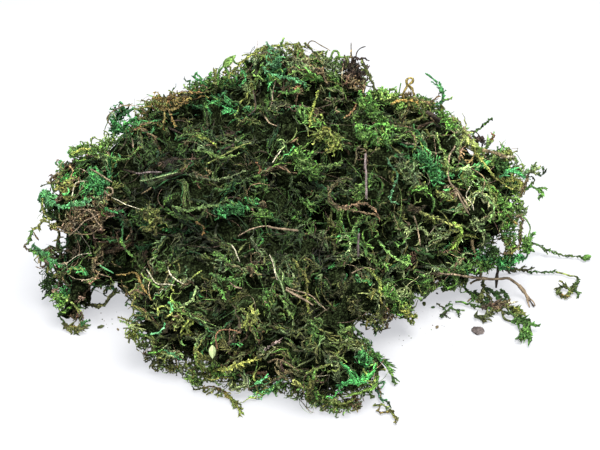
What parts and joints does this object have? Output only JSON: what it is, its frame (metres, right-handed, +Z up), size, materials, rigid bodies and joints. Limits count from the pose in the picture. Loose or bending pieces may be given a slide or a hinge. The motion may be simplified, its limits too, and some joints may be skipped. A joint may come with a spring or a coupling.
{
  "type": "moss clump",
  "caption": "Loose heap of dried, dyed sheet moss with lumpy tangled tufts, trailing strands, dead stems and a crumb of bark, resting on a flat base.",
  "frame": {"origin": "middle of the heap's base, on the surface it rests on", "axes": "+X along the heap's long side, towards the trailing strands; -Y towards the tuft that lies furthest forward; +Z up"},
  "size_m": [0.289, 0.2346, 0.1228],
  "materials": {
    "moss_deep_green": "matte",
    "moss_blue_green": "matte",
    "moss_olive": "matte",
    "sprig_green": "matte",
    "sprig_olive": "matte",
    "dead_stem": "matte",
    "straw": "satin",
    "leaf": "satin",
    "bark": "matte"
  },
  "bodies": {
    "root": {"moss_tuft_crown": "moss_deep_green", "moss_tuft_shoulder": "moss_deep_green", "moss_tuft_left": "moss_blue_green", "moss_tuft_middle": "moss_deep_green", "moss_tuft_centre": "moss_deep_green", "moss_tuft_right": "moss_olive", "moss_tuft_upper_right": "moss_olive", "moss_tuft_front": "moss_olive", "moss_tuft_back_left": "moss_deep_green", "moss_tuft_back_right": "moss_olive", "trailing_strand_upper": "sprig_green", "trailing_strand_lower": "sprig_green", "twig_long": "dead_stem", "sprig_right": "sprig_green", "sprig_small": "sprig_green", "sprig_front": "sprig_green", "sprig_curly": "sprig_olive", "sprig_front_left": "sprig_olive", "sprig_foot": "sprig_green", "twig_middle": "dead_stem", "twig_lower": "dead_stem", "strand_hook": "dead_stem", "twig_crossed": "dead_stem", "straw_front": "straw", "twig_right": "dead_stem", "leaf_pale": "leaf", "bark_chip": "bark"}
  },
  "joints": []
}
